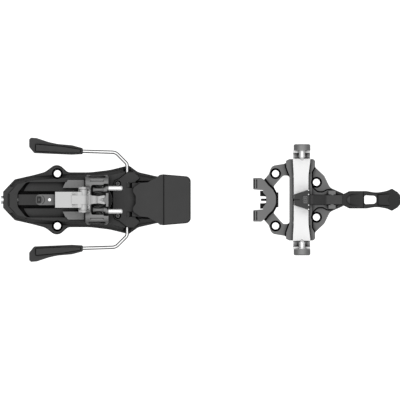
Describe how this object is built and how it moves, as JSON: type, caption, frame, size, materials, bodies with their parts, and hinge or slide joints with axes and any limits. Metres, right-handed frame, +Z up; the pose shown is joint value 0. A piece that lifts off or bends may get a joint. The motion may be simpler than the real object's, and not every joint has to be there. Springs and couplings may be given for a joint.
{
  "type": "ski touring pin binding",
  "caption": "Ski touring pin binding: heel unit with turning tower, two heel pins, flip-over risers and ski brake, and toe unit with two pin jaws, locking lever and crampon receiver.",
  "frame": {"origin": "on the ski's top surface, on the ski's centre line, half-way along the binding", "axes": "+X towards the ski's tip, +Y to the skier's left, +Z up from the ski"},
  "size_m": [0.3436, 0.1068, 0.0476],
  "materials": {
    "base_plastic": "moulded glass-filled plastic, fine grain",
    "brake_plastic": "moulded plastic, satin",
    "toe_metal": "grey anodised, bead blasted",
    "tower_metal": "grey anodised, bead blasted",
    "silver_metal": "silver anodised, satin",
    "wire_steel": "polished round wire",
    "lever_metal": "black anodised",
    "wing_metal": "bright silver anodised, satin",
    "bar_plastic": "moulded, satin",
    "steel": "polished",
    "spring_steel": "drawn wire",
    "screw_steel": "dark zinc",
    "carrier_black": "moulded, satin",
    "head_metal": "dark anodised",
    "lever_plastic": "moulded, fine grain",
    "pad_rubber": "moulded"
  },
  "bodies": {
    "root": {"heel_base_plate": "base_plastic", "brake_cover": "base_plastic", "brake_cover_screws": "screw_steel", "brake_springs": "spring_steel", "screw_cover": "base_plastic", "toe_base_plate": "toe_metal", "crampon_receiver": "toe_metal", "crampon_clip": "carrier_black", "receiver_screws": "steel", "wing_axles": "steel", "toe_springs": "spring_steel", "lever_axle": "steel", "toe_pad": "pad_rubber"},
    "length_screw": {"length_screw": "steel", "screw_clip": "steel"},
    "carriage": {"carriage": "tower_metal", "turret_post": "steel", "post_cap": "steel"},
    "turret": {"tower_housing": "tower_metal", "tower_cap": "silver_metal", "tower_cap_screws": "silver_metal", "pin_axles": "steel", "vertical_springs": "spring_steel", "lateral_plungers": "steel", "lateral_springs": "spring_steel", "riser_axle": "steel"},
    "riser_bar": {"riser_bar": "bar_plastic", "riser_magnet": "steel"},
    "riser_flap": {"riser_flap": "silver_metal"},
    "brake": {"brake_wire_left": "wire_steel", "brake_wire_right": "wire_steel", "brake_paddle_left": "brake_plastic", "brake_paddle_right": "brake_plastic", "brake_pedal": "brake_plastic", "brake_pad": "brake_plastic"},
    "lever": {"lever_arm": "lever_metal", "lever_handle": "lever_plastic", "arrow_cap": "lever_metal", "cap_rivets": "steel"},
    "heel_pin_left": {"pin_carrier_left": "carrier_black", "heel_pin_left": "steel"},
    "vertical_screw_left": {"vertical_screw_left": "screw_steel"},
    "lateral_screw_left": {"lateral_screw_left": "screw_steel"},
    "wing_left": {"wing_left": "wing_metal", "pin_head_left": "head_metal", "toe_pin_left": "steel", "guide_insert_left": "carrier_black"},
    "heel_pin_right": {"pin_carrier_right": "carrier_black", "heel_pin_right": "steel"},
    "vertical_screw_right": {"vertical_screw_right": "screw_steel"},
    "lateral_screw_right": {"lateral_screw_right": "screw_steel"},
    "wing_right": {"wing_right": "wing_metal", "pin_head_right": "head_metal", "toe_pin_right": "steel", "guide_insert_right": "carrier_black"}
  },
  "joints": [
    {"name": "carriage_slide", "type": "slide", "parent": "root", "child": "carriage", "axis": [1, 0, 0], "range_m": [-0.015, 0.005]},
    {"name": "screw_turn", "type": "hinge", "parent": "root", "child": "length_screw", "pos_m": [-0.13, 0, 0.0044], "axis": [1, 0, 0], "range_deg": [-6760, 2260]},
    {"name": "turret_yaw", "type": "hinge", "parent": "carriage", "child": "turret", "pos_m": [-0.088, 0, 0.02], "axis": [0, 0, 1], "range_deg": [-90, 90]},
    {"name": "riser_bar_flip", "type": "hinge", "parent": "turret", "child": "riser_bar", "pos_m": [-0.1008, 0, 0.0435], "axis": [0, 1, 0], "range_deg": [0, 160]},
    {"name": "riser_flap_flip", "type": "hinge", "parent": "riser_bar", "child": "riser_flap", "pos_m": [-0.1008, 0, 0.0435], "axis": [0, -1, 0], "range_deg": [-172, 0]},
    {"name": "brake_tilt", "type": "hinge", "parent": "root", "child": "brake", "pos_m": [-0.0633, 0, 0.006], "axis": [0, 1, 0], "range_deg": [-50, 0]},
    {"name": "lever_tilt", "type": "hinge", "parent": "root", "child": "lever", "pos_m": [0.113, 0, 0.009], "axis": [0, -1, 0], "range_deg": [0, 14]},
    {"name": "heel_pin_left_open", "type": "hinge", "parent": "turret", "child": "heel_pin_left", "pos_m": [-0.091, 0.008, 0.034], "axis": [0, 0, 1], "range_deg": [0, 6], "stiffness_Nm_per_rad": 2},
    {"name": "vertical_screw_left_turn", "type": "hinge", "parent": "turret", "child": "vertical_screw_left", "pos_m": [-0.0855, 0.017, 0.031], "axis": [0, 1, 0], "continuous": true},
    {"name": "lateral_screw_left_turn", "type": "hinge", "parent": "turret", "child": "lateral_screw_left", "pos_m": [-0.088, 0.017, 0.018], "axis": [0, 1, 0], "continuous": true},
    {"name": "wing_left_swing", "type": "hinge", "parent": "root", "child": "wing_left", "pos_m": [0.087, 0.02, 0.009], "axis": [1, 0, 0], "range_deg": [0, 11.21]},
    {"name": "heel_pin_right_open", "type": "hinge", "parent": "turret", "child": "heel_pin_right", "pos_m": [-0.091, -0.008, 0.034], "axis": [0, 0, -1], "range_deg": [0, 6], "stiffness_Nm_per_rad": 2},
    {"name": "vertical_screw_right_turn", "type": "hinge", "parent": "turret", "child": "vertical_screw_right", "pos_m": [-0.0855, -0.017, 0.031], "axis": [0, -1, 0], "continuous": true},
    {"name": "lateral_screw_right_turn", "type": "hinge", "parent": "turret", "child": "lateral_screw_right", "pos_m": [-0.088, -0.017, 0.018], "axis": [0, -1, 0], "continuous": true},
    {"name": "wing_right_swing", "type": "hinge", "parent": "root", "child": "wing_right", "pos_m": [0.087, -0.02, 0.009], "axis": [-1, 0, 0], "range_deg": [0, 11.21]}
  ],
  "couplings": [
    {"joint": "screw_turn", "follows": "carriage_slide", "rad_per_m": 7854},
    {"joint": "heel_pin_right_open", "follows": "heel_pin_left_open", "ratio": 1},
    {"joint": "wing_left_swing", "follows": "lever_tilt", "ratio": 0.8},
    {"joint": "wing_right_swing", "follows": "lever_tilt", "ratio": 0.8}
  ]
}
